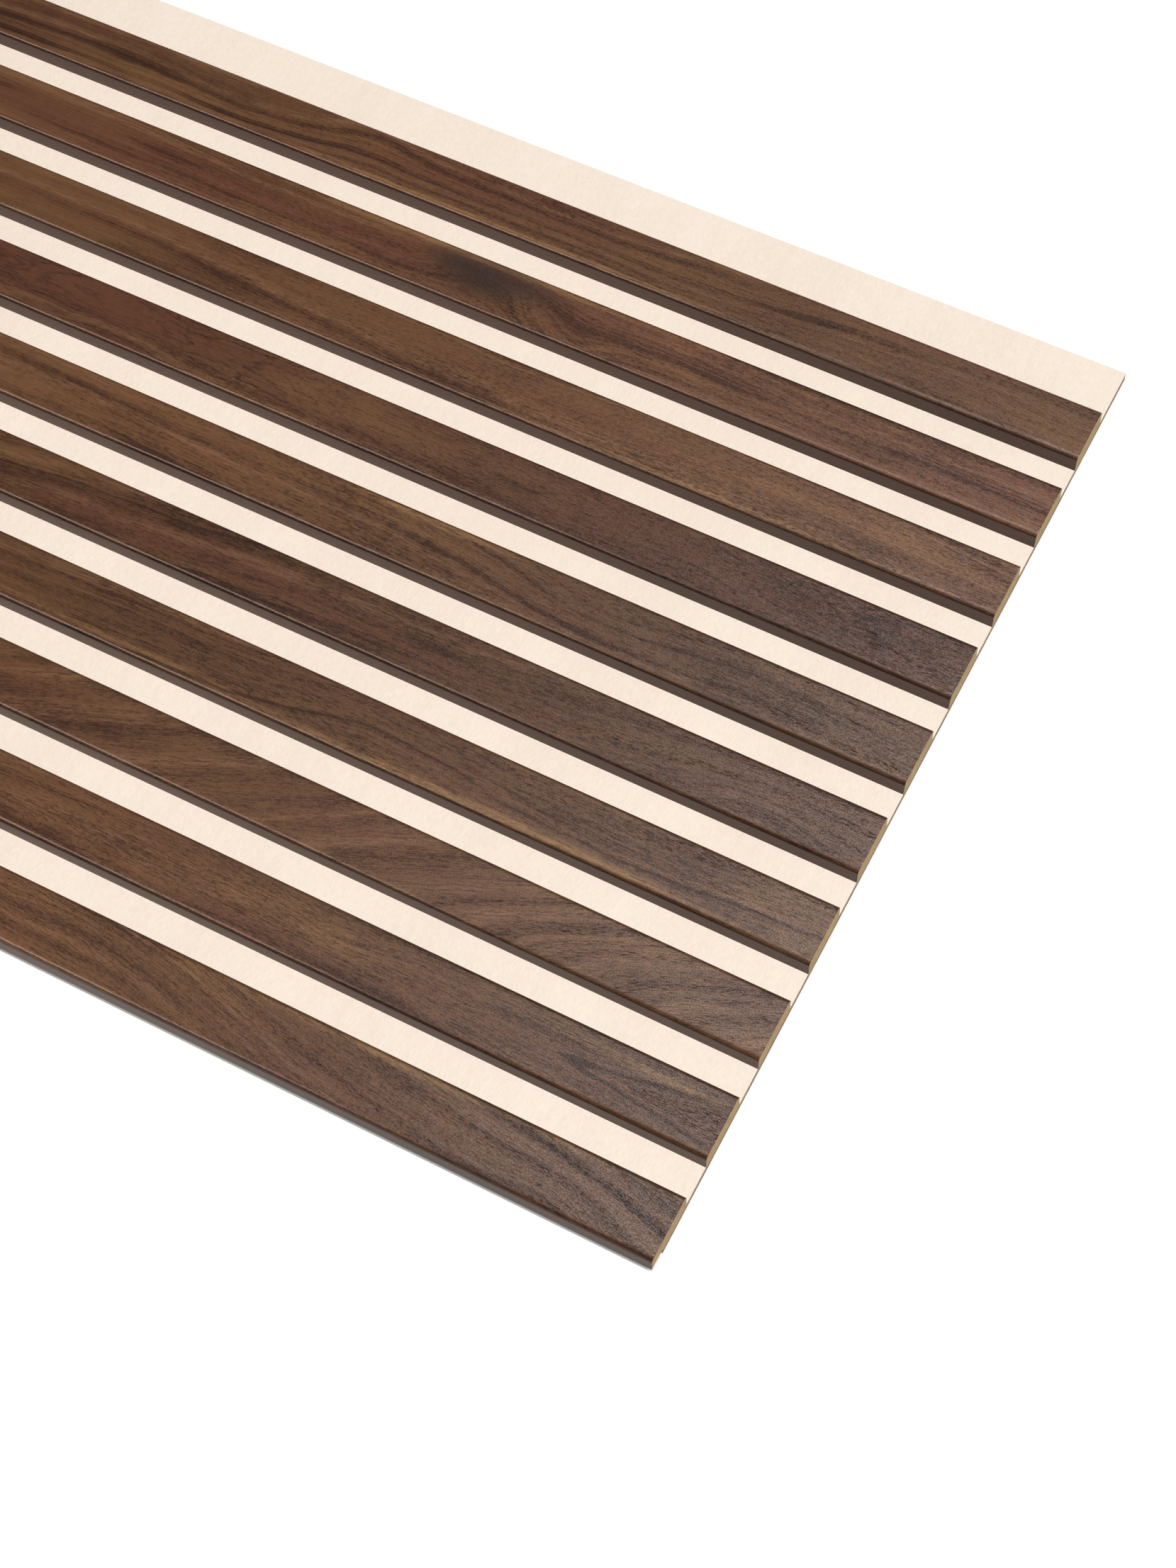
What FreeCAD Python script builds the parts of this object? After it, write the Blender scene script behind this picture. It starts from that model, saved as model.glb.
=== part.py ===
import FreeCAD, Part
import math
import os
import Sketcher

# Slat wall panel, lying on its back.
# Parallel slats run along X on a thin back board, with open grooves between them.
# Each slat is a fibreboard core wrapped in decor foil over its top and both sides.
# The board's cream face sheet shows in the grooves and on the bare lap margin.
# The slat on the near side hangs over the board's edge, so that the next panel's
# lap margin can slide under it.
# The origin is at the middle of the panel, on its back face.

# Driving dimensions in millimetres, apart from the number of slats.
DIMENSIONS = {
    "panel_length": 2400.0,
    "slat_count": 10,
    "slat_width": 38.0,
    "slat_gap": 22.0,
    "slat_thickness": 12.0,
    "edge_radius": 3.0,
    "foil_thickness": 0.4,
    "board_thickness": 6.0,
    "face_thickness": 0.4,
    "lap_margin": 41.0,
    "lap_overhang": 12.0,
}

# Sizes that follow from the driving dimensions.
DERIVED = {
    "slat_pitch": "slat_width + slat_gap",
    "slat_field": "slat_count * slat_pitch - slat_gap",
    "overall_width": "slat_field + lap_margin",
    "near_side": "-overall_width / 2",
    "board_width": "overall_width - lap_overhang",
    "board_middle": "lap_overhang / 2",
    "core_width": "slat_width - 2 * foil_thickness",
    "core_height": "slat_thickness - foil_thickness",
    "core_radius": "edge_radius - foil_thickness",
    "core_board_height": "board_thickness - face_thickness",
}

doc = FreeCAD.newDocument("slat_wall_panel")
sheet = doc.addObject("Spreadsheet::Sheet", "sizes")


def fill_sheet():
    """Write each size into a cell of its own, with its name beside it."""
    rows = [(name, str(value)) for name, value in DIMENSIONS.items()]
    rows += [(name, "=" + formula) for name, formula in DERIVED.items()]
    for row, (name, content) in enumerate(rows, start=1):
        sheet.set(f"A{row}", name)
        sheet.set(f"B{row}", content)
        sheet.setAlias(f"B{row}", name)
    doc.recompute()


def add_body(name):
    """Start a body whose label names the piece."""
    body = doc.addObject("PartDesign::Body", name)
    body.Label = name
    return body


def section_sketch(body, name):
    """Attach a sketch to the body's plane across the panel's length."""
    sketch = body.newObject("Sketcher::SketchObject", name)
    plane = next(item for item in body.Origin.OriginFeatures if item.Role == "YZ_Plane")
    sketch.AttachmentSupport = [(plane, "")]
    sketch.MapMode = "FlatFace"
    return sketch


def bind(sketch, index, name, formula):
    """Name one dimension of a sketch and tie it to the sheet."""
    sketch.renameConstraint(index, name)
    sketch.setExpression(f"Constraints.{name}", formula)


def draw_rectangle(sketch, width_name, height_name):
    """Draw a rectangle that stands on the origin, centred across it."""
    half = sheet.get(width_name) / 2
    top = sheet.get(height_name)
    corners = [(-half, 0), (half, 0), (half, top), (-half, top)]
    points = [FreeCAD.Vector(across, up, 0) for across, up in corners]
    for start, end in zip(points, points[1:] + points[:1]):
        sketch.addGeometry(Part.LineSegment(start, end))
    for side in range(4):
        sketch.addConstraint(Sketcher.Constraint("Coincident", side, 2, (side + 1) % 4, 1))
    for flat in (0, 2):
        sketch.addConstraint(Sketcher.Constraint("Horizontal", flat))
    for upright in (1, 3):
        sketch.addConstraint(Sketcher.Constraint("Vertical", upright))
    sketch.addConstraint(Sketcher.Constraint("Symmetric", 0, 1, 0, 2, -1, 1))
    width = sketch.addConstraint(Sketcher.Constraint("DistanceX", 0, 1, 0, 2, 2 * half))
    height = sketch.addConstraint(Sketcher.Constraint("DistanceY", 1, 1, 1, 2, top))
    bind(sketch, width, "width", f"{sheet.Name}.{width_name}")
    bind(sketch, height, "height", f"{sheet.Name}.{height_name}")


def draw_slat_section(sketch, width_name, height_name, radius_name):
    """Draw a slat's section: flat underneath, upright sides and two rounded top edges."""
    half = sheet.get(width_name) / 2
    top = sheet.get(height_name)
    radius = sheet.get(radius_name)
    shoulder = top - radius
    inner = half - radius
    up = FreeCAD.Vector(0, 0, 1)

    def point(across, height):
        return FreeCAD.Vector(across, height, 0)

    def corner(across, start_angle):
        circle = Part.Circle(point(across, shoulder), up, radius)
        return Part.ArcOfCircle(circle, start_angle, start_angle + math.pi / 2)

    underside = sketch.addGeometry(Part.LineSegment(point(-half, 0), point(half, 0)))
    right = sketch.addGeometry(Part.LineSegment(point(half, 0), point(half, shoulder)))
    right_corner = sketch.addGeometry(corner(inner, 0))
    face = sketch.addGeometry(Part.LineSegment(point(inner, top), point(-inner, top)))
    left_corner = sketch.addGeometry(corner(-inner, math.pi / 2))
    left = sketch.addGeometry(Part.LineSegment(point(-half, shoulder), point(-half, 0)))

    sketch.addConstraint(Sketcher.Constraint("Coincident", underside, 2, right, 1))
    sketch.addConstraint(Sketcher.Constraint("Coincident", left, 2, underside, 1))
    loop = [right, right_corner, face, left_corner, left]
    for before, after in zip(loop, loop[1:]):
        sketch.addConstraint(Sketcher.Constraint("Tangent", before, 2, after, 1))
    for flat in (underside, face):
        sketch.addConstraint(Sketcher.Constraint("Horizontal", flat))
    for upright in (right, left):
        sketch.addConstraint(Sketcher.Constraint("Vertical", upright))
    sketch.addConstraint(Sketcher.Constraint("Equal", right_corner, left_corner))
    sketch.addConstraint(Sketcher.Constraint("Symmetric", underside, 1, underside, 2, -1, 1))
    width = sketch.addConstraint(
        Sketcher.Constraint("DistanceX", underside, 1, underside, 2, 2 * half))
    height = sketch.addConstraint(
        Sketcher.Constraint("DistanceY", right, 1, face, 1, top))
    rounding = sketch.addConstraint(Sketcher.Constraint("Radius", right_corner, radius))
    bind(sketch, width, "width", f"{sheet.Name}.{width_name}")
    bind(sketch, height, "height", f"{sheet.Name}.{height_name}")
    bind(sketch, rounding, "rounding", f"{sheet.Name}.{radius_name}")


def run_along_panel(body, sketch, name):
    """Pad a section over the panel's whole length, half to each side."""
    pad = body.newObject("PartDesign::Pad", name)
    pad.Profile = sketch
    pad.SideType = "Symmetric"
    pad.setExpression("Length", f"{sheet.Name}.panel_length")
    sketch.Visibility = False
    return pad


def place(body, across, height):
    """Tie the body's place across the panel and its height to the sheet."""
    body.setExpression("Placement.Base.y", across)
    body.setExpression("Placement.Base.z", height)


def back_board():
    """The thin fibreboard that carries the slats."""
    body = add_body("back_board")
    section = section_sketch(body, "board_section")
    draw_rectangle(section, "board_width", "core_board_height")
    run_along_panel(body, section, "board_length")
    place(body, f"{sheet.Name}.board_middle", "0")
    return body


def face_sheet():
    """The cream sheet that covers the board's whole front."""
    body = add_body("face_sheet")
    section = section_sketch(body, "sheet_section")
    draw_rectangle(section, "board_width", "face_thickness")
    run_along_panel(body, section, "sheet_length")
    place(body, f"{sheet.Name}.board_middle", f"{sheet.Name}.core_board_height")
    return body


def slat_middle(number):
    """Give the formula for a slat's middle line; slat 1 lies beside the lap margin."""
    steps = f"({sheet.Name}.slat_count - {number})"
    first = f"{sheet.Name}.near_side + {sheet.Name}.slat_width / 2"
    return f"{first} + {steps} * {sheet.Name}.slat_pitch"


def slat_core(number):
    """One slat's fibreboard core, glued flat to the board's face."""
    body = add_body(f"slat_core_{number:02d}")
    section = section_sketch(body, f"core_section_{number:02d}")
    draw_slat_section(section, "core_width", "core_height", "core_radius")
    run_along_panel(body, section, f"core_length_{number:02d}")
    place(body, slat_middle(number), f"{sheet.Name}.board_thickness")
    return body


def slat_foil(number):
    """One slat's decor foil, folded over the top and down both sides of its core."""
    body = add_body(f"slat_foil_{number:02d}")
    outside = section_sketch(body, f"foil_outside_{number:02d}")
    draw_slat_section(outside, "slat_width", "slat_thickness", "edge_radius")
    run_along_panel(body, outside, f"foil_length_{number:02d}")
    inside = section_sketch(body, f"foil_inside_{number:02d}")
    draw_slat_section(inside, "core_width", "core_height", "core_radius")
    pocket = body.newObject("PartDesign::Pocket", f"core_space_{number:02d}")
    pocket.Profile = inside
    pocket.SideType = "Symmetric"
    pocket.Type = "ThroughAll"
    inside.Visibility = False
    place(body, slat_middle(number), f"{sheet.Name}.board_thickness")
    return body


def check_document():
    """Stop if any object of the document failed to rebuild."""
    for item in doc.Objects:
        failed = [state for state in item.State if state in ("Invalid", "Error")]
        if failed:
            raise RuntimeError(f"{item.Name} is {failed}")


def check_piece(body):
    """Stop if a piece isn't one valid solid."""
    shape = body.Shape
    if shape.isNull() or not shape.isValid() or len(shape.Solids) != 1:
        raise RuntimeError(f"{body.Label} isn't one valid solid")


def check_foil(foil):
    """Stop if a foil's section isn't the slat's section less its core's."""
    square_corner = 1 - math.pi / 4
    outer = sheet.slat_width * sheet.slat_thickness - 2 * square_corner * sheet.edge_radius ** 2
    inner = sheet.core_width * sheet.core_height - 2 * square_corner * sheet.core_radius ** 2
    expected = (outer - inner) * sheet.panel_length
    if abs(foil.Shape.Volume - expected) > 1e-6 * expected:
        raise RuntimeError(f"{foil.Label} isn't hollow where its core lies")


fill_sheet()
numbers = range(1, int(sheet.slat_count) + 1)
cores = [slat_core(number) for number in numbers]
foils = [slat_foil(number) for number in numbers]
pieces = [back_board(), face_sheet()] + cores + foils
doc.recompute()

check_document()
for piece in pieces:
    check_piece(piece)
for foil in foils:
    check_foil(foil)

os.makedirs("parts", exist_ok=True)
for piece in pieces:
    piece.Shape.exportStep(f"parts/{piece.Label}.step")
print(f"{len(pieces)} pieces, {sheet.overall_width:.1f} mm wide overall")
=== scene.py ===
"""The looks of a slat wall panel: walnut-grained foil, fibreboard cores and a cream-faced board."""
import math

import bpy
import numpy as np
from mathutils import Matrix, Vector


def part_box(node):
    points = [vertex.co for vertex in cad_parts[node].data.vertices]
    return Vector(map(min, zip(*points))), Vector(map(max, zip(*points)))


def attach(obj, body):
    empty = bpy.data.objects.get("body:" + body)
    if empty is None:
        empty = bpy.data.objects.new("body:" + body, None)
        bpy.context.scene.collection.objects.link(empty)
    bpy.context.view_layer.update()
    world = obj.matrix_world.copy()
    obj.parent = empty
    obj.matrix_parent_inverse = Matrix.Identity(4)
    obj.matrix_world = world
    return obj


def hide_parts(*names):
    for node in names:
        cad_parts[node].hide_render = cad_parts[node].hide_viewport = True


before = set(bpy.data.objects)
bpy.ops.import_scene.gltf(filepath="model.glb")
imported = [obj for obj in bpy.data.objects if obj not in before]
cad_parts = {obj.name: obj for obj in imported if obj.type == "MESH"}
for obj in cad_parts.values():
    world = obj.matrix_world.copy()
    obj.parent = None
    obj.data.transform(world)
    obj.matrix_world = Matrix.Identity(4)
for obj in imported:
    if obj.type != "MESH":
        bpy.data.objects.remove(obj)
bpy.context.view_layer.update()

# The panel's two ends along X.
VISIBLE_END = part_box("back_board")[1].x
HIDDEN_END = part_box("back_board")[0].x

MILLIMETRE = 0.001
# A slat's section: the radius of its rounded edges, the steps in a quarter circle and the lead of
# flat surface beside it. Lengths are in metres.
EDGE_RADIUS = 0.003
CORNER_STEPS = 10
CORNER_LEAD = 0.0002
# The stations that carry a section along the slat, and the angle in degrees between two faces
# from which their edge is sharp.
STATIONS = 13
SHARP_ANGLE = 30

# How each slat's foil is printed, in millimetres from the visible end and from the slat's middle.
# The slats are numbered from the bare lap margin, on the far side, to the overhanging slat.
# heart and depth place the log's heart beside and below the face. The rings shift sideways by
# dive for each millimetre along, as far as reach, and stray by wander; spacing widens them.
# bold and thin are how strong the broad rings and the fine lines are. lean is how far the fibres
# shift sideways for each millimetre along. shade is the brown's lightness at the far left and at
# the visible end, and warmth its lean to red. Marks are (from the end, across, half length,
# half width): swells bow the rings by a fifth number, streaks are golden with a fifth number for
# their strength, tones darken the print, or lighten it where the fifth number is below zero, and
# knots are dark. Veins are dark rings at a distance from the heart, as (distance, half width).
PLAIN = dict(depth=8, dive=0.0, reach=900, wander=12, spacing=1.0, bold=0.8, thin=0.7, lean=0.0,
             warmth=0.5, swells=[], streaks=[], tones=[], knots=[], veins=[])
FIGURES = {
    1: dict(PLAIN, heart=-62, dive=0.03, wander=15, shade=(0.79, 0.77),
            swells=[(480, 12, 38, 16, -9)], streaks=[(400, -16.5, 170, 2.2, 0.6)],
            tones=[(340, -3, 100, 5, -0.30), (370, -11, 110, 3, 0.20), (180, 12, 70, 5, -0.28),
                   (600, 4, 90, 8, 0.20)]),
    2: dict(PLAIN, heart=58, depth=10, dive=0.01, wander=9, warmth=0.7, shade=(0.80, 0.90),
            swells=[(363, 6, 40, 17, 13), (300, -22, 38, 16, -10)],
            streaks=[(390, 15.5, 160, 2.5, 0.7), (130, 13, 70, 2.4, 0.6)], knots=[(368, 3, 44, 17)],
            tones=[(120, 0, 100, 3, -0.30), (540, -12, 80, 5, 0.25)]),
    3: dict(PLAIN, heart=-80, depth=16, dive=-0.03, wander=9, bold=0.5, thin=0.6, lean=0.04,
            warmth=0.1, shade=(0.84, 0.95), streaks=[(210, -17, 180, 2.2, 0.45)],
            tones=[(340, 11, 170, 5, -0.30), (110, -9, 120, 4, 0.22)]),
    4: dict(PLAIN, heart=6, depth=22, dive=0.03, wander=16, bold=0.25, thin=1.0, warmth=0.9,
            shade=(0.69, 0.50), streaks=[(330, 2, 110, 16, 0.25)],
            tones=[(260, 6, 90, 9, -0.20), (550, -14, 60, 4, 0.35)]),
    5: dict(PLAIN, heart=-46, dive=-0.04, wander=11, bold=1.0, warmth=0.0, shade=(1.05, 0.57),
            swells=[(200, 0, 58, 24, 16)], streaks=[(310, 15, 60, 2.8, 0.7)],
            tones=[(330, 3, 60, 4, -0.35), (300, -6, 60, 5, -0.22), (570, 4, 60, 6, 0.35)]),
    6: dict(PLAIN, heart=-44, dive=0.06, wander=13, bold=0.55, thin=0.8, lean=0.06, warmth=0.5,
            shade=(0.72, 0.57), swells=[(60, -12, 34, 14, -12)],
            tones=[(400, -17, 150, 3, 0.40), (540, -6, 70, 9, 0.28), (330, 5, 80, 4, -0.20)]),
    7: dict(PLAIN, heart=-56, depth=7, dive=0.04, bold=0.7, warmth=0.2, shade=(0.68, 0.74),
            swells=[(270, -6, 62, 26, -15)], veins=[(52, 0.7)],
            streaks=[(190, -16, 150, 2.6, 0.8), (430, -14, 90, 2.0, 0.5)],
            tones=[(140, 10, 60, 5, -0.28)]),
    8: dict(PLAIN, heart=-26, depth=15, dive=0.42, reach=2400, wander=13, spacing=1.5, bold=0.55,
            thin=0.4, lean=0.40, warmth=0.2, shade=(0.88, 0.72)),
    9: dict(PLAIN, heart=-2, depth=4, dive=0.085, reach=260, wander=11, warmth=0.3,
            shade=(1.00, 0.60), streaks=[(40, 10, 60, 3, 0.7), (245, 3, 60, 12, 0.4)], veins=[(12, 0.4)],
            tones=[(290, 13, 100, 4, -0.35), (265, -13, 60, 5, -0.35), (360, -3, 50, 6, 0.22),
                   (40, -12, 60, 4, 0.20)]),
    10: dict(PLAIN, heart=60, depth=9, dive=0.20, reach=330, lean=-0.16, warmth=0.1,
             shade=(1.20, 0.56), swells=[(60, -14, 34, 14, 10)], streaks=[(140, 16, 120, 2.8, 0.75)],
             tones=[(190, -10, 50, 5, -0.30), (340, -13, 60, 3, -0.30)], veins=[(66, 0.7), (52, 0.6)]),
}
# The shade changes from the visible end up to this distance from it.
SHADE_REACH = 0.65

# Each noise in the walnut's grain: lumps to the metre along and across, detail and roughness.
NOISES = {
    "wander": (4.2, 15.0, 3.0, 0.45),
    "jitter": (45.0, 170.0, 2.0, 0.5),
    "straying": (7.0, 20.0, 2.0, 0.5),
    "fading": (6.0, 60.0, 2.0, 0.5),
    "clouds": (9.0, 34.0, 3.0, 0.5),
    "hues": (4.0, 40.0, 3.0, 0.5),
    "glow": (6.0, 60.0, 2.0, 0.5),
    "ripple": (150.0, 50.0, 2.0, 0.5),
    "fibres": (60.0, 1050.0, 3.0, 0.65),
    "strands": (270.0, 1250.0, 1.0, 0.5),
    "pores": (230.0, 2200.0, 1.0, 0.5),
    "grit": (620.0, 820.0, 1.0, 0.5),
    "leather": (1250.0, 1550.0, 2.0, 0.6),
}
# The broad rings and the fine lines: bands to the metre, detail and roughness.
RINGS = (115.0, 3.0, 0.55)
LINES = (260.0, 2.0, 0.6)
# Seeds that keep the slats apart, and the noises within a slat.
SLAT_SEED = 11.0
LINE_SEED = 3.0
NOISE_STEPS = (1.7, 2.3, 3.1)
BAND_STEP = 5.3

# Noise seldom comes near 0 or 1, so a figure's wander is multiplied by this swing. The jitter of
# the rings and the straying of the fibres are in metres, and the hue swings between two browns.
WANDER_SWING = 2.6
JITTER = 0.0026
STRAYING = 0.010
HUE_SWING = 2.6
# The dive of the rings eases off over this distance at the end of its reach.
DIVE_EASE = 0.06

# Between which values of its noise each mark goes from nothing to full.
SHOWS = {
    "fading": (0.36, 0.58),
    "rings": (0.56, 0.34),
    "lines": (0.060, 0.006),
    "clouds": (0.54, 0.34),
    "fibres": (0.58, 0.36),
    "strands": (0.58, 0.36),
    "pores": (0.54, 0.68),
    "crowding": (0.56, 0.36),
    "glow": (0.52, 0.70),
    "pale rings": (0.50, 0.70),
    "pale fibres": (0.36, 0.60),
    "streaks": (0.05, 0.8),
    "knots": (0.15, 1.05),
    "glints": (0.36, 0.64),
}
# A fine line runs wherever its noise crosses this level.
LINE_LEVEL = 0.48
# What is left of the rings where they fade, of the pores between the dark rings, and of the pores
# that close up far from the visible end.
FADED_RINGS = 0.35
SPARSE_PORES = 0.20
CLOSED_PORES = 0.10
# A vein fades out at this many times its half width, and the strands break it up.
VEIN_REACH = 3
VEIN_STRANDS = (0.0, 2.0)
# How widely each noise swings a knot's outline.
KNOT_SWINGS = {"rings": 0.8, "clouds": 1.6, "fibres": 0.6}

# How much darker each kind of grain makes the print, and how widely the fine noises swing it.
RING_DARKNESS = 0.44
LINE_DARKNESS = 0.32
VEIN_DARKNESS = 0.50
CLOUD_DARKNESS = 0.25
FIBRE_DARKNESS = 0.24
STRAND_DARKNESS = 0.34
RIPPLE_SWING = 0.25
GRIT_SWING = 0.55
LEATHER_SWING = 0.40

# Between these distances from the visible end the grain turns softer, with bolder rings.
SOFT_FROM = (0.32, 0.72)
SOFT_FINE_SHARE = 0.30
SOFT_FIBRE_SHARE = 0.55
SOFT_RING_SHARE = 1.55
# Nearing the visible end, the pores open up and the painted grey sheen on the sides fades to their
# plain brown. Each change runs from the first distance from that end to the second.
PORES_OPENING = (0.50, 0.10)
SIDE_SHEEN_FADING = (0.42, 0.05)

# Where they are brown, the sides darken towards the foot with painted shade, between these
# distances from the slat's middle and down to this lightness.
FOOT = (0.0215, 0.0295)
FOOT_PAINTED_SHADE = 0.76
# Going outwards from the slat's middle, the rounding starts, darkened a little by painted shade,
# then a dark line of painted shade runs along it, and then the sides take over. Each comes in
# between two distances from the middle.
ROUNDING_START = (0.0166, 0.0178)
EDGE_START = (0.0187, 0.0194)
EDGE_END = (0.0197, 0.0204)

# How strongly colours are laid over the ground: the golden glow, the pale wood between dark
# rings, the pores, the painted shade on the rounding, the dark line of painted shade and the sides.
GLOW_SHARE = 0.5
PALE_SHARE = 0.6
PORE_SHARE = 0.8
ROUNDING_SHADE_SHARE = 0.20
EDGE_SHADE_SHARE = 0.72
SIDE_SHARE = 0.9
# The fibres break a streak up, and it leaves this share of the darkness under it.
STREAK_FIBRES = (0.1, 1.4)
STREAK_DARKNESS = 0.45
# How dark and how light the mottle makes the sides.
SIDE_MOTTLE = (0.65, 1.35)

# The foil's gloss is a specular level, from the dull to the bright spots of its fine leather
# relief. It is multiplied by one factor in the pores and by others on pale and on dark grain. The
# rounding and the sides have levels of their own.
FOIL_IOR = 1.45
GLINT_GLOSS = (0.16, 0.84)
PORE_GLOSS = 0.2
DARK_GLOSS = (1.08, 0.80)
ROUNDING_GLOSS = 0.55
SIDE_GLOSS = 0.32
# The face's roughness and what the fibres and the pores add to it, then the near rounding's and
# the sides'.
FACE_ROUGHNESS = 0.29
FIBRE_ROUGHNESS = 0.10
PORE_ROUGHNESS = 0.25
NEAR_ROUNDING_ROUGHNESS = 0.13
SIDE_ROUGHNESS = 0.45
# The foil's relief: the weight of each noise, and the depth in metres.
FIBRE_RELIEF = 0.35
LEATHER_RELIEF = 0.8
PORE_RELIEF = -0.8
FOIL_RELIEF = 0.00006

# The noises in the boards and on the cream face, the finest first: lumps to the metre along,
# across and up, then seed, detail, roughness and weight.
FIBREBOARD_NOISES = [
    ((2600.0, 1500.0, 2600.0), 3.0, 3.0, 0.7, 0.70),
    ((300.0, 160.0, 420.0), 8.0, 2.0, 0.5, 0.50),
]
HARDBOARD_NOISES = [
    ((1500.0, 1100.0, 2400.0), 5.0, 3.0, 0.7, 0.65),
    ((14.0, 14.0, 60.0), 9.0, 3.0, 0.5, 0.45),
]
CREAM_NOISES = [
    ((1700.0, 260.0, 1.0), 2.0, 2.0, 0.6, 0.75),
    ((240.0, 36.0, 1.0), 6.0, 3.0, 0.5, 0.22),
    ((17.0, 2.0, 1.0), 12.0, 2.0, 0.5, 0.28),
]

# Colours are linear red, green and blue.
WALNUT_RED = (0.170, 0.065, 0.033)
WALNUT_OLIVE = (0.160, 0.073, 0.031)
WALNUT_DARK = (0.050, 0.020, 0.012)
WALNUT_LIGHT = (0.265, 0.132, 0.067)
WALNUT_GOLDEN = (0.245, 0.117, 0.044)
WALNUT_STREAK = (0.370, 0.195, 0.076)
PORE_BROWN = (0.038, 0.017, 0.012)
KNOT_BROWN = (0.044, 0.025, 0.018)
# Painted shade for the roundings and for the dark line along them.
EDGE_PAINTED_SHADE = (0.020, 0.010, 0.007)
SIDE_BROWN = (0.094, 0.053, 0.041)
# The sides' brown with a painted grey sheen, used away from the visible end.
SIDE_PAINTED_SHEEN = (0.129, 0.082, 0.068)
FIBREBOARD_TAN = (0.65, 0.457, 0.218)
FIBREBOARD_DARK = (0.47, 0.318, 0.141)
HARDBOARD_BROWN = (0.43, 0.305, 0.165)
HARDBOARD_DARK = (0.28, 0.195, 0.105)
CREAM = (0.905, 0.792, 0.680)
CREAM_SHADE = (0.825, 0.700, 0.584)

# The camera sees a white surround, and a floor that glows a little so that it comes out white.
# The panel is lit by a faint surround and by the lamps. The floor's size and how far it lies below
# the panel's back are in metres.
WHITE = (1.0, 1.0, 1.0)
SURROUND_COLOUR = (0.96, 0.98, 1.0, 1.0)
SURROUND_LIGHT = 0.10
FLOOR_SIZE = 14.0
FLOOR_DROP = 0.0003
FLOOR_COLOUR = (0.84, 0.80, 0.755, 1.0)
FLOOR_GLOW_COLOUR = (0.80, 0.92, 1.0, 1.0)
FLOOR_GLOW = 0.30
# Each lamp's reach along X and across Y and its height, in metres, and its radiance. The key lamp
# lights the colours and shows in no reflection, and the others show only as reflections.
LAMPS = {
    "key": dict(along=(-0.8, 7.0), across=(-2.2, -1.0), height=10.0, radiance=41.4, glossy=False),
    "sheen": dict(along=(0.69, 1.75), across=(-0.3, 1.35), height=1.9, radiance=4.9, diffuse=False),
    "edge_light": dict(along=(-3.0, 0.4), across=(-2.3, -1.0), height=1.7, radiance=5.8,
                       tint=(1.0, 0.78, 0.67), diffuse=False),
    "end_light": dict(along=(0.4, 1.0), across=(-1.25, -0.35), height=1.8, radiance=2.4,
                      tint=(1.0, 0.80, 0.70), diffuse=False),
}

# The camera, in metres and degrees, and its focal length in photo pixels.
CAMERA_PLACE = (1.3909, -0.6995, 1.2745)
CAMERA_AIM = (1.0438, -0.0781, 0.0)
CAMERA_ROLL = -1.87
PHOTO_FOCAL = 3782
PHOTO_HEIGHT = 2212
SENSOR_HEIGHT = 36.0


def arch(half_width, bottom, top, radius):
    """A slat's section from its near foot over the top to its far foot, as (across, height) rows.

    Each side is upright, then a quarter circle of the given radius leads into the flat top.
    A point a short lead before and after each quarter circle keeps the flat faces' shading flat.
    """
    angles = np.linspace(0, math.pi / 2, CORNER_STEPS + 1)
    centre = half_width - radius
    corner_across = centre + radius * np.cos(angles)
    corner_height = top - radius + radius * np.sin(angles)
    across = np.concatenate([[half_width, half_width], corner_across, [centre - CORNER_LEAD]])
    height = np.concatenate([[bottom, top - radius - CORNER_LEAD], corner_height, [top]])
    far = np.stack([across, height], axis=1)
    near = far * (-1, 1)
    return np.concatenate([near, far[::-1]])


def unfolded(section):
    """How far each point of a section lies along it from its middle, positive to the far side."""
    steps = np.linalg.norm(np.diff(section, axis=0), axis=1)
    along = np.concatenate([[0.0], np.cumsum(steps)])
    return along - along[-1] / 2


def swept(name, section, middle, across_print, caps):
    """A closed section carried along X from the hidden end to the visible one.

    Every station repeats the section, moved to the slat's middle line. The caps are the faces
    that close an end, as the numbers of the section's points. The print map holds the distance
    from the visible end and the distance along the section from its middle.
    """
    count = len(section)
    stations = np.linspace(HIDDEN_END, VISIBLE_END, STATIONS)
    points = np.zeros((STATIONS, count, 3))
    points[..., 0] = stations[:, None]
    points[..., 1] = section[:, 0] + middle
    points[..., 2] = section[:, 1]
    first = np.arange(STATIONS - 1)[:, None] * count
    here = np.arange(count)
    following = np.roll(here, -1)
    sides = np.stack([first + here, first + count + here,
                      first + count + following, first + following], axis=2).reshape(-1, 4)
    start_caps = [list(face) for face in caps]
    end_caps = [[index + (STATIONS - 1) * count for index in reversed(face)] for face in caps]
    mesh = bpy.data.meshes.new(name)
    mesh.from_pydata(points.reshape(-1, 3).tolist(), [], sides.tolist() + start_caps + end_caps)
    mesh.update()

    printed = np.zeros((STATIONS, count, 2))
    printed[..., 0] = VISIBLE_END - stations[:, None]
    printed[..., 1] = across_print
    corners = np.zeros(len(mesh.loops), dtype=np.int32)
    mesh.loops.foreach_get("vertex_index", corners)
    uv_map = mesh.uv_layers.new(name="print")
    uv_map.data.foreach_set("uv", printed.reshape(-1, 2)[corners].astype(np.float32).ravel())
    mesh.shade_smooth()
    mesh.set_sharp_from_angle(angle=math.radians(SHARP_ANGLE))
    piece = bpy.data.objects.new(name, mesh)
    bpy.context.scene.collection.objects.link(piece)
    return piece


def section_of(node, radius):
    """The arch that fills a slat node's box, and the node's middle line."""
    low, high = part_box(node)
    return arch((high.y - low.y) / 2, low.z, high.z, radius), (high.y + low.y) / 2


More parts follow.
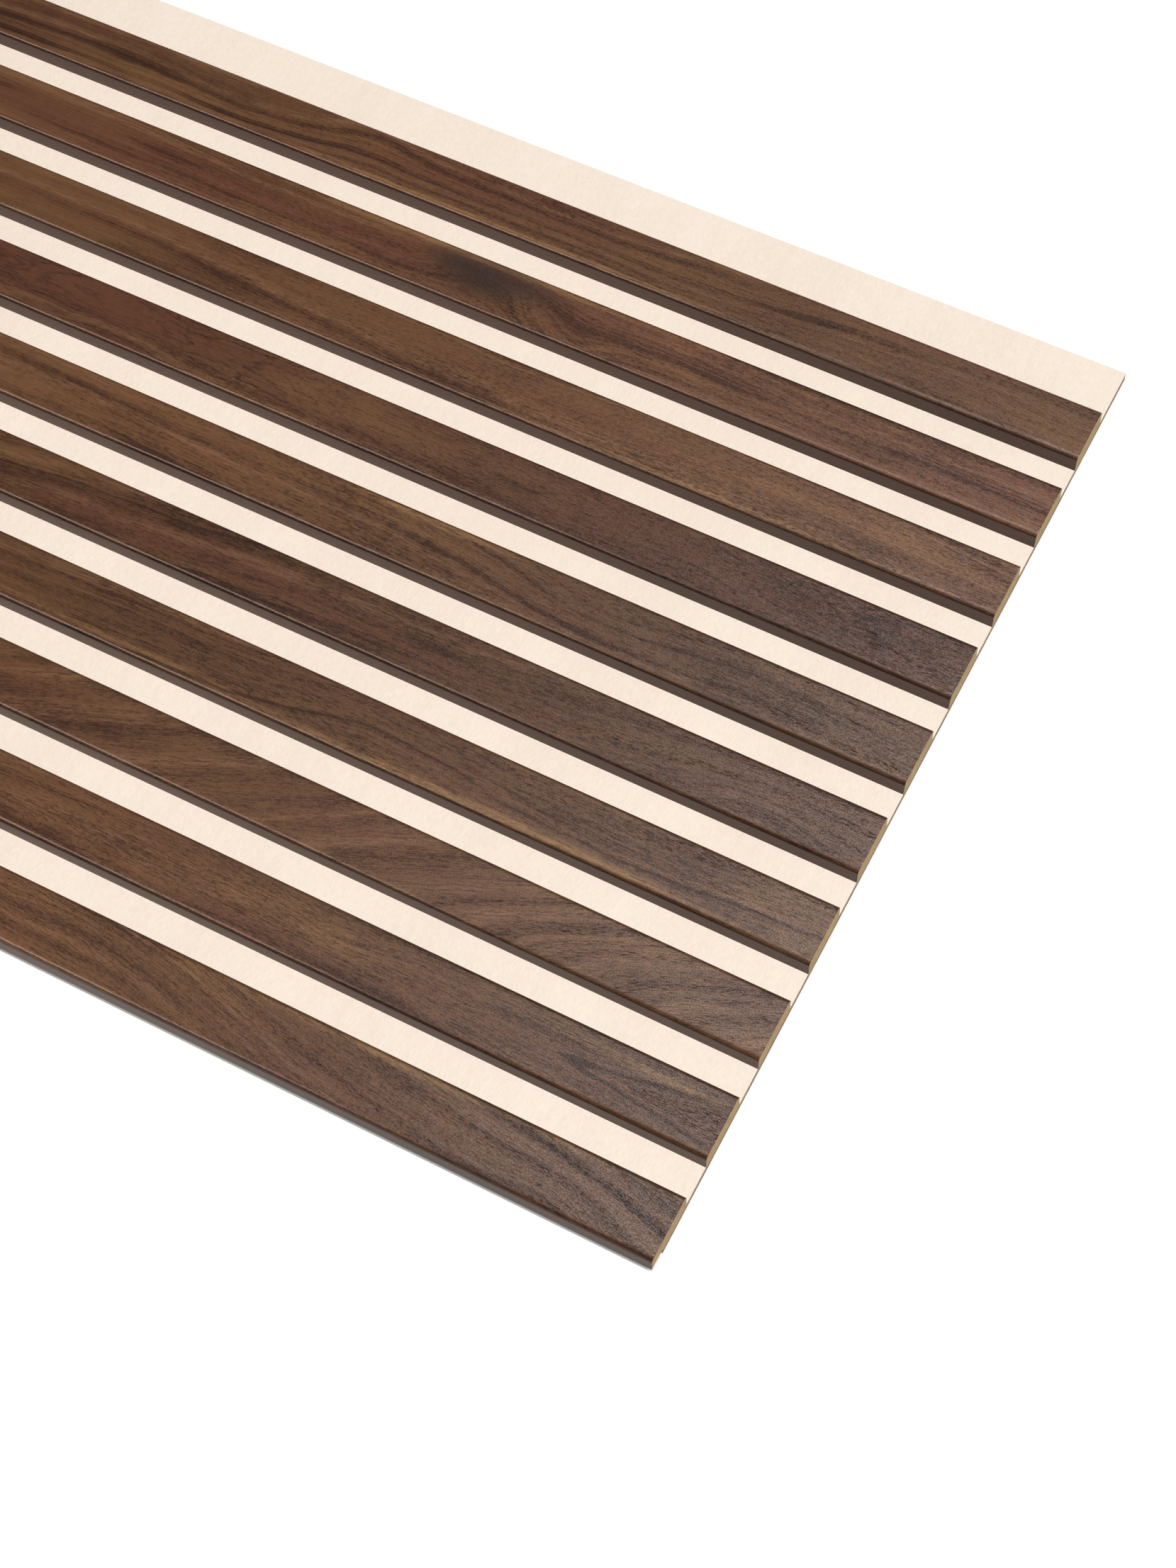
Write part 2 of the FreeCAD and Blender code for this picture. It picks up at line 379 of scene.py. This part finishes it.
def foil_piece(number):
    """One slat's foil: a thin skin over the top and both sides of the core."""
    node = f"slat_foil_{number:02d}"
    foil_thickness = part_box(node)[1].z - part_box(f"slat_core_{number:02d}")[1].z
    outside, middle = section_of(node, EDGE_RADIUS)
    inside, _ = section_of(f"slat_core_{number:02d}", EDGE_RADIUS - foil_thickness)
    count = len(outside)
    section = np.concatenate([outside, inside[::-1]])
    across_print = np.concatenate([unfolded(outside), unfolded(outside)[::-1]])
    # At the ends, each step of the outside is joined to the step of the inside that faces it.
    band = [[i, i + 1, 2 * count - 2 - i, 2 * count - 1 - i] for i in range(count - 1)]
    piece = swept(f"foil_{number:02d}", section, middle, across_print, band)
    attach(piece, "root")
    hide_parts(node)
    return piece


def core_piece(number):
    """One slat's core: a solid bar whose sawn ends show."""
    node = f"slat_core_{number:02d}"
    foil_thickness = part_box(f"slat_foil_{number:02d}")[1].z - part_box(node)[1].z
    section, middle = section_of(node, EDGE_RADIUS - foil_thickness)
    piece = swept(f"core_{number:02d}", section, middle, unfolded(section), [list(range(len(section)))])
    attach(piece, "root")
    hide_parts(node)
    return piece


class Graph:
    """A material's nodes, with a short call for each kind that repeats."""

    def __init__(self, name):
        self.material = bpy.data.materials.new(name)
        self.material.use_nodes = True
        self.nodes = self.material.node_tree.nodes
        self.nodes.clear()
        self.surface = self.add("ShaderNodeBsdfPrincipled")
        output = self.add("ShaderNodeOutputMaterial")
        self.feed(output.inputs["Surface"], self.surface.outputs["BSDF"])

    def add(self, kind, **settings):
        """A new node with some of its settings."""
        node = self.nodes.new(kind)
        for name, value in settings.items():
            setattr(node, name, value)
        return node

    def feed(self, socket, source):
        """Link a socket to an output, or give it a plain value."""
        if isinstance(source, bpy.types.NodeSocket):
            self.material.node_tree.links.new(source, socket)
        else:
            socket.default_value = source

    def math(self, operation, first, second=0.0, third=0.0):
        """A sum on numbers."""
        node = self.add("ShaderNodeMath", operation=operation)
        for socket, source in zip(node.inputs, (first, second, third)):
            self.feed(socket, source)
        return node.outputs["Value"]

    def print_place(self):
        """The foil's own map: metres from the visible end, and metres across from the middle."""
        return self.add("ShaderNodeUVMap", uv_map="print").outputs["UV"]

    def object_place(self):
        """The place in the panel's own frame, in metres."""
        return self.add("ShaderNodeTexCoord").outputs["Object"]

    def split(self, vector):
        """A vector's three numbers."""
        node = self.add("ShaderNodeSeparateXYZ")
        self.feed(node.inputs["Vector"], vector)
        return node.outputs

    def vector(self, first, second, third=0.0):
        """A vector from three numbers."""
        node = self.add("ShaderNodeCombineXYZ")
        for socket, source in zip(node.inputs, (first, second, third)):
            self.feed(socket, source)
        return node.outputs["Vector"]

    def noise(self, place, per_metre, seed, detail, roughness):
        """Smooth noise from 0 to 1, with its own number of lumps to the metre each way."""
        mapping = self.add("ShaderNodeMapping")
        self.feed(mapping.inputs["Vector"], place)
        mapping.inputs["Scale"].default_value = per_metre
        mapping.inputs["Location"].default_value = [seed * step for step in NOISE_STEPS]
        texture = self.add("ShaderNodeTexNoise")
        self.feed(texture.inputs["Vector"], mapping.outputs["Vector"])
        texture.inputs["Scale"].default_value = 1.0
        texture.inputs["Detail"].default_value = detail
        texture.inputs["Roughness"].default_value = roughness
        return texture.outputs["Fac"]

    def bands(self, distance, per_metre, seed, detail, roughness):
        """Uneven bands from 0 to 1 over a distance, like a tree's rings."""
        place = self.math("MULTIPLY_ADD", distance, per_metre, seed * BAND_STEP)
        texture = self.add("ShaderNodeTexNoise", noise_dimensions="1D")
        self.feed(texture.inputs["W"], place)
        texture.inputs["Scale"].default_value = 1.0
        texture.inputs["Detail"].default_value = detail
        texture.inputs["Roughness"].default_value = roughness
        return texture.outputs["Fac"]

    def swing(self, noise, reach):
        """Noise from 0 to 1 turned into a shift of up to half the reach each way."""
        return self.math("MULTIPLY_ADD", noise, reach, -reach / 2)

    def between(self, value, start, end):
        """0 before the start and 1 past the end, smooth in between; the end may be the lower one."""
        node = self.add("ShaderNodeMapRange", interpolation_type="SMOOTHSTEP")
        self.feed(node.inputs["Value"], value)
        node.inputs["From Min"].default_value = start
        node.inputs["From Max"].default_value = end
        return node.outputs["Result"]

    def scaled(self, value, low, high):
        """0 to 1 turned into low to high."""
        return self.math("MULTIPLY_ADD", value, high - low, low)

    def blend_values(self, share, first, second):
        """Two numbers mixed by a share."""
        change = self.math("SUBTRACT", second, first)
        return self.math("MULTIPLY_ADD", share, change, first)

    def weighed(self, *parts):
        """Numbers added up, each multiplied by its weight."""
        (number, weight), *others = parts
        total = self.math("MULTIPLY", number, weight)
        for number, weight in others:
            total = self.math("MULTIPLY_ADD", number, weight, total)
        return total

    def multiplied(self, *factors):
        """Numbers multiplied together."""
        product = factors[0]
        for factor in factors[1:]:
            product = self.math("MULTIPLY", product, factor)
        return product

    def blend(self, share, first, second):
        """Two colours mixed by a share."""
        node = self.add("ShaderNodeMix", data_type="RGBA")
        sources = {"Factor": share, "A": first, "B": second}
        for socket in node.inputs:
            if socket.enabled and socket.name in sources:
                source = sources[socket.name]
                self.feed(socket, (*source, 1.0) if isinstance(source, tuple) else source)
        return next(socket for socket in node.outputs if socket.enabled)

    def shaded(self, colour, lightness):
        """A colour made lighter or darker by a factor."""
        node = self.add("ShaderNodeVectorMath", operation="SCALE")
        self.feed(node.inputs[0], colour)
        self.feed(node.inputs["Scale"], lightness)
        return node.outputs["Vector"]

    def bump(self, height, depth):
        """Relief on the surface, in metres from its lowest to its highest."""
        node = self.add("ShaderNodeBump")
        node.inputs["Strength"].default_value = 1.0
        node.inputs["Distance"].default_value = depth
        self.feed(node.inputs["Height"], height)
        self.feed(self.surface.inputs["Normal"], node.outputs["Normal"])


def bell(graph, place, mark):
    """A bell shape that is 1 in the middle of a mark and fades out round it.

    It is e to the power of minus the squared distance from the middle, counted in the mark's
    half length along and its half width across. A mark is given in millimetres.
    """
    middle = np.array(mark[:2]) * MILLIMETRE
    reach = np.array(mark[2:4]) * MILLIMETRE
    offset = graph.add("ShaderNodeMapping")
    graph.feed(offset.inputs["Vector"], place)
    offset.inputs["Scale"].default_value = (*(1 / reach), 0.0)
    offset.inputs["Location"].default_value = (*(-middle / reach), 0.0)
    squared = graph.add("ShaderNodeVectorMath", operation="DOT_PRODUCT")
    graph.feed(squared.inputs[0], offset.outputs["Vector"])
    graph.feed(squared.inputs[1], offset.outputs["Vector"])
    return graph.math("EXPONENT", graph.math("MULTIPLY", squared.outputs["Value"], -1.0))


class Grain:
    """The noises that make up one slat's grain, each from 0 to 1, on the foil's own map."""

    def __init__(self, graph, number):
        self.graph = graph
        self.figure = FIGURES[number]
        self.seed = SLAT_SEED * number
        self.place = graph.print_place()
        self.along, self.across = graph.split(self.place)[:2]
        self.from_middle = graph.math("ABSOLUTE", self.across)
        self.distance = self.ring_distance()
        ring_place = graph.vector(self.along, self.distance)
        fibre_place = self.fibre_place()
        self.rings = self.bands(RINGS, self.seed)
        self.lines = self.bands(LINES, self.seed + LINE_SEED)
        self.fading = self.noise("fading", ring_place)
        self.clouds = self.noise("clouds", self.place)
        self.hues = self.noise("hues", self.place)
        self.glow = self.noise("glow", ring_place)
        self.ripple = self.noise("ripple", self.place)
        self.fibres = self.noise("fibres", fibre_place)
        self.strands = self.noise("strands", fibre_place)
        self.pores = self.noise("pores", fibre_place)
        self.grit = self.noise("grit", self.place)
        self.leather = self.noise("leather", self.place)

    def noise(self, name, place):
        """One of the named noises, seeded by the slat and by its place in the table."""
        along, across, detail, roughness = NOISES[name]
        seed = self.seed + list(NOISES).index(name)
        return self.graph.noise(place, (along, across, 1.0), seed, detail, roughness)

    def bands(self, kind, seed):
        """The broad rings or the fine lines, over the distance out in the log."""
        per_metre, detail, roughness = kind
        per_metre = per_metre / self.figure["spacing"]
        return self.graph.bands(self.distance, per_metre, seed, detail, roughness)

    def shown(self, name, noise):
        """How much of a mark a noise lets show, from 0 to 1."""
        return self.graph.between(noise, *SHOWS[name])

    def ring_distance(self):
        """How far out in the log each point of the print lies, in metres, so that rings follow it.

        It is the distance from the heart, which lies a depth below the face, plus the dive times
        the distance along as far as the reach, plus two layers of noise for the wander. Each
        swell adds a bell-shaped rise or fall, so that the rings bow or close round it.
        """
        graph, figure = self.graph, self.figure
        sideways = graph.math("SUBTRACT", self.across, figure["heart"] * MILLIMETRE)
        length = graph.add("ShaderNodeVectorMath", operation="LENGTH")
        graph.feed(length.inputs[0], graph.vector(sideways, figure["depth"] * MILLIMETRE))
        reached = graph.math("SMOOTH_MIN", self.along, figure["reach"] * MILLIMETRE, DIVE_EASE)
        distance = graph.math("MULTIPLY_ADD", reached, figure["dive"], length.outputs["Value"])
        reach = WANDER_SWING * figure["wander"] * MILLIMETRE
        wander = graph.swing(self.noise("wander", self.place), reach)
        jitter = graph.swing(self.noise("jitter", self.place), JITTER)
        distance = graph.math("ADD", distance, wander)
        distance = graph.math("ADD", distance, jitter)
        for *mark, rise in figure["swells"]:
            hill = bell(graph, self.place, mark)
            distance = graph.math("MULTIPLY_ADD", hill, rise * MILLIMETRE, distance)
        return distance

    def fibre_place(self):
        """The place along and across the fibres, which lean and stray from the slat's length."""
        graph = self.graph
        straying = graph.swing(self.noise("straying", self.place), STRAYING)
        leaning = graph.math("MULTIPLY_ADD", self.along, self.figure["lean"], self.across)
        return graph.vector(self.along, graph.math("ADD", leaning, straying))

    def darkness(self):
        """How dark the print is, from 0 to 1.

        It is the sum of the fine noises' swings, of each tone's bell shape times its change, and
        of each kind of grain's share times its own darkness.
        """
        graph, figure = self.graph, self.figure
        faded = graph.scaled(self.shown("fading", self.fading), FADED_RINGS, 1.0)
        beside_line = graph.math("ABSOLUTE", graph.math("SUBTRACT", self.lines, LINE_LEVEL))
        soft = graph.between(self.along, *SOFT_FROM)
        fine = graph.scaled(soft, 1.0, SOFT_FINE_SHARE)
        rings = graph.multiplied(self.shown("rings", self.rings), faded,
                                 graph.scaled(soft, 1.0, SOFT_RING_SHARE))
        lines = graph.multiplied(self.shown("lines", beside_line), faded)
        fibres = graph.multiplied(self.shown("fibres", self.fibres),
                                  graph.scaled(soft, 1.0, SOFT_FIBRE_SHARE))
        strands = graph.multiplied(self.shown("strands", self.strands), fine)
        parts = [
            (rings, RING_DARKNESS * figure["bold"]),
            (lines, LINE_DARKNESS * figure["thin"]),
            (self.shown("clouds", self.clouds), CLOUD_DARKNESS),
            (fibres, FIBRE_DARKNESS),
            (strands, STRAND_DARKNESS),
        ]
        for distance, half_width in figure["veins"]:
            beside = graph.math("SUBTRACT", self.distance, distance * MILLIMETRE)
            beside = graph.math("ABSOLUTE", beside)
            vein = graph.between(beside, VEIN_REACH * half_width * MILLIMETRE, 0.0)
            broken = graph.multiplied(vein, faded, graph.scaled(self.strands, *VEIN_STRANDS))
            parts.append((broken, VEIN_DARKNESS))
        specks = graph.math("ADD", graph.swing(self.grit, GRIT_SWING),
                            graph.swing(self.leather, LEATHER_SWING))
        dark = graph.math("MULTIPLY_ADD", specks, fine, graph.swing(self.ripple, RIPPLE_SWING))
        for *mark, change in figure["tones"]:
            dark = graph.math("MULTIPLY_ADD", bell(graph, self.place, mark), change, dark)
        for share, weight in parts:
            dark = graph.math("MULTIPLY_ADD", share, weight, dark)
        return graph.between(dark, 0.0, 1.0)

    def pore_share(self):
        """Where the open pores are, from 0 to 1; they crowd in the dark rings near the visible end."""
        graph = self.graph
        crowding = graph.scaled(self.shown("crowding", self.rings), SPARSE_PORES, 1.0)
        opening = graph.scaled(graph.between(self.along, *PORES_OPENING), CLOSED_PORES, 1.0)
        return graph.multiplied(self.shown("pores", self.pores), crowding, opening)


def face_colour(graph, grain, darkness, pore_share):
    """The print's colours on the slat's face: two browns, golden streaks, dark grain and pores."""
    figure = grain.figure
    redness = graph.math("ADD", graph.swing(grain.hues, HUE_SWING), figure["warmth"])
    colour = graph.blend(graph.between(redness, 0.0, 1.0), WALNUT_OLIVE, WALNUT_RED)
    glow = graph.multiplied(grain.shown("glow", grain.glow), GLOW_SHARE)
    colour = graph.blend(glow, colour, WALNUT_GOLDEN)
    light = graph.multiplied(grain.shown("pale rings", grain.rings),
                             grain.shown("pale fibres", grain.fibres), PALE_SHARE)
    colour = graph.blend(light, colour, WALNUT_LIGHT)
    for *mark, strength in figure["streaks"]:
        streak = graph.multiplied(bell(graph, grain.place, mark),
                                  graph.scaled(grain.fibres, *STREAK_FIBRES))
        streak = graph.multiplied(grain.shown("streaks", streak), strength)
        colour = graph.blend(streak, colour, WALNUT_STREAK)
        darkness = graph.multiplied(darkness, graph.scaled(streak, 1.0, STREAK_DARKNESS))
    colour = graph.blend(darkness, colour, WALNUT_DARK)
    for mark in figure["knots"]:
        spot = bell(graph, grain.place, mark)
        for name, reach in KNOT_SWINGS.items():
            spot = graph.math("ADD", spot, graph.swing(getattr(grain, name), reach))
        colour = graph.blend(grain.shown("knots", spot), colour, KNOT_BROWN)
    colour = graph.blend(graph.multiplied(pore_share, PORE_SHARE), colour, PORE_BROWN)
    shade = graph.between(grain.along, 0.0, SHADE_REACH)
    far_shade, end_shade = figure["shade"]
    return graph.shaded(colour, graph.scaled(shade, end_shade, far_shade))


def side_colour(graph, grain):
    """The mottled brown of the slat's sides, with a painted grey sheen away from the visible end
    and painted shade towards the foot near it.
    """
    # The painted grey sheen on the sides fades out nearing the visible end.
    sheen_fading = graph.between(grain.along, *SIDE_SHEEN_FADING)
    colour = graph.blend(sheen_fading, SIDE_PAINTED_SHEEN, SIDE_BROWN)
    # Near the visible end, painted shade darkens the sides towards the foot.
    foot = graph.multiplied(sheen_fading, graph.between(grain.from_middle, *FOOT))
    mottle = graph.weighed((grain.grit, 0.5), (grain.strands, 0.5))
    lightness = graph.multiplied(graph.scaled(mottle, *SIDE_MOTTLE),
                                 graph.scaled(foot, 1.0, FOOT_PAINTED_SHADE))
    return graph.shaded(colour, lightness)


def walnut(number):
    """One slat's walnut print on a finely embossed, satin foil.

    The face's colours give way to painted shade, then to a dark line of painted shade on each
    rounding, and then to the sides' mottled brown.
    """
    graph = Graph(f"walnut_print_{number:02d}")
    grain = Grain(graph, number)
    darkness = grain.darkness()
    pore_share = grain.pore_share()
    rounding = graph.between(grain.from_middle, *ROUNDING_START)
    edge = graph.between(grain.from_middle, *EDGE_START)
    side = graph.between(grain.from_middle, *EDGE_END)

    colour = face_colour(graph, grain, darkness, pore_share)
    # Painted shade on each rounding and in the dark line along it.
    colour = graph.blend(graph.multiplied(rounding, ROUNDING_SHADE_SHARE), colour, EDGE_PAINTED_SHADE)
    colour = graph.blend(graph.multiplied(edge, EDGE_SHADE_SHARE), colour, EDGE_PAINTED_SHADE)
    colour = graph.blend(graph.multiplied(side, SIDE_SHARE), colour, side_colour(graph, grain))
    graph.feed(graph.surface.inputs["Base Color"], colour)

    graph.surface.inputs["IOR"].default_value = FOIL_IOR
    glints = graph.scaled(grain.shown("glints", grain.leather), *GLINT_GLOSS)
    gloss = graph.multiplied(glints, graph.scaled(pore_share, 1.0, PORE_GLOSS),
                             graph.scaled(darkness, *DARK_GLOSS))
    gloss = graph.blend_values(rounding, gloss, ROUNDING_GLOSS)
    gloss = graph.blend_values(side, gloss, SIDE_GLOSS)
    graph.feed(graph.surface.inputs["Specular IOR Level"], gloss)

    roughness = graph.math("MULTIPLY_ADD", grain.fibres, FIBRE_ROUGHNESS, FACE_ROUGHNESS)
    roughness = graph.math("MULTIPLY_ADD", pore_share, PORE_ROUGHNESS, roughness)
    near_rounding = graph.between(grain.across, -ROUNDING_START[0], -ROUNDING_START[1])
    roughness = graph.blend_values(near_rounding, roughness, NEAR_ROUNDING_ROUGHNESS)
    roughness = graph.blend_values(side, roughness, SIDE_ROUGHNESS)
    graph.feed(graph.surface.inputs["Roughness"], roughness)

    relief = graph.weighed((grain.fibres, FIBRE_RELIEF), (grain.leather, LEATHER_RELIEF),
                           (pore_share, PORE_RELIEF))
    graph.bump(relief, FOIL_RELIEF)
    return graph.material


def speckled(name, noises, shows, dark, pale):
    """A ground between two colours that follows a weighed sum of noises, and its finest noise."""
    graph = Graph(name)
    place = graph.object_place()
    parts = [(graph.noise(place, *settings), weight) for *settings, weight in noises]
    share = graph.between(graph.weighed(*parts), *shows)
    graph.feed(graph.surface.inputs["Base Color"], graph.blend(share, dark, pale))
    finest, _ = parts[0]
    return graph, finest


def fibreboard():
    """The slats' cores: pale sawn fibreboard with darker flecks."""
    graph, flecks = speckled("fibreboard", FIBREBOARD_NOISES, (0.44, 0.80),
                             FIBREBOARD_DARK, FIBREBOARD_TAN)
    graph.surface.inputs["Roughness"].default_value = 0.85
    graph.bump(flecks, depth=0.0001)
    return graph.material


def hardboard():
    """The back board: dense brown fibreboard, with a finely felted back and sawn edges."""
    graph, flecks = speckled("hardboard", HARDBOARD_NOISES, (0.36, 0.76),
                             HARDBOARD_DARK, HARDBOARD_BROWN)
    graph.surface.inputs["Roughness"].default_value = 0.72
    graph.bump(flecks, depth=0.00012)
    return graph.material


def cream_face():
    """The board's face sheet: cream, with hair-fine streaks and broad faint bands across it."""
    graph, hairs = speckled("cream_face", CREAM_NOISES, (0.40, 0.86), CREAM_SHADE, CREAM)
    roughness = graph.math("MULTIPLY_ADD", hairs, 0.10, 0.50)
    graph.feed(graph.surface.inputs["Roughness"], roughness)
    graph.surface.inputs["Specular IOR Level"].default_value = 0.06
    graph.bump(hairs, depth=0.00002)
    return graph.material


def paint(piece, material):
    """Give a piece one material all over."""
    piece.data.materials.clear()
    piece.data.materials.append(material)


def lamp(name, along, across, height, radiance, tint=WHITE, diffuse=True, glossy=True):
    """A soft flat lamp that faces down, given by its reach along X and Y and its height.

    Its power is its radiance times pi times its area.
    """
    data = bpy.data.lights.new(name, "AREA")
    data.shape = "RECTANGLE"
    data.size = along[1] - along[0]
    data.size_y = across[1] - across[0]
    data.energy = radiance * math.pi * data.size * data.size_y
    data.color = tint
    piece = bpy.data.objects.new(name, data)
    piece.location = (sum(along) / 2, sum(across) / 2, height)
    piece.visible_diffuse = diffuse
    piece.visible_glossy = glossy
    bpy.context.scene.collection.objects.link(piece)


def white_studio():
    """A white floor, a white surround for the camera, and soft lamps overhead."""
    world = bpy.data.worlds.new("studio")
    world.use_nodes = True
    nodes, links = world.node_tree.nodes, world.node_tree.links
    nodes.clear()
    seen = nodes.new("ShaderNodeBackground")
    seen.inputs["Color"].default_value = (*WHITE, 1.0)
    lit = nodes.new("ShaderNodeBackground")
    lit.inputs["Color"].default_value = SURROUND_COLOUR
    lit.inputs["Strength"].default_value = SURROUND_LIGHT
    path = nodes.new("ShaderNodeLightPath")
    mix = nodes.new("ShaderNodeMixShader")
    output = nodes.new("ShaderNodeOutputWorld")
    links.new(path.outputs["Is Camera Ray"], mix.inputs["Fac"])
    links.new(lit.outputs["Background"], mix.inputs[1])
    links.new(seen.outputs["Background"], mix.inputs[2])
    links.new(mix.outputs["Shader"], output.inputs["Surface"])
    bpy.context.scene.world = world

    bpy.ops.mesh.primitive_plane_add(size=FLOOR_SIZE, location=(0.0, 0.0, -FLOOR_DROP))
    floor = bpy.context.object
    floor.name = "floor"
    graph = Graph("white_floor")
    graph.surface.inputs["Base Color"].default_value = FLOOR_COLOUR
    graph.surface.inputs["Roughness"].default_value = 0.9
    graph.surface.inputs["Emission Color"].default_value = FLOOR_GLOW_COLOUR
    camera_ray = graph.add("ShaderNodeLightPath").outputs["Is Camera Ray"]
    glow = graph.math("MULTIPLY", camera_ray, FLOOR_GLOW)
    graph.feed(graph.surface.inputs["Emission Strength"], glow)
    paint(floor, graph.material)

    for name, settings in LAMPS.items():
        lamp(name, **settings)


def photo_camera():
    """The camera where the photograph's was."""
    data = bpy.data.cameras.new("camera")
    data.sensor_fit = "VERTICAL"
    data.sensor_height = SENSOR_HEIGHT
    data.lens = PHOTO_FOCAL / PHOTO_HEIGHT * SENSOR_HEIGHT
    camera = bpy.data.objects.new("camera", data)
    bpy.context.scene.collection.objects.link(camera)
    aim = (Vector(CAMERA_AIM) - Vector(CAMERA_PLACE)).to_track_quat("-Z", "Y")
    roll = Matrix.Rotation(math.radians(CAMERA_ROLL), 4, "Z")
    camera.matrix_world = Matrix.Translation(CAMERA_PLACE) @ aim.to_matrix().to_4x4() @ roll
    bpy.context.scene.camera = camera


def dress_panel():
    """Put every piece in place with its finish."""
    core_finish = fibreboard()
    for number in FIGURES:
        paint(foil_piece(number), walnut(number))
        paint(core_piece(number), core_finish)
    paint(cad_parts["back_board"], hardboard())
    paint(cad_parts["face_sheet"], cream_face())


dress_panel()
white_studio()
photo_camera()
bpy.context.scene.view_settings.view_transform = "Standard"
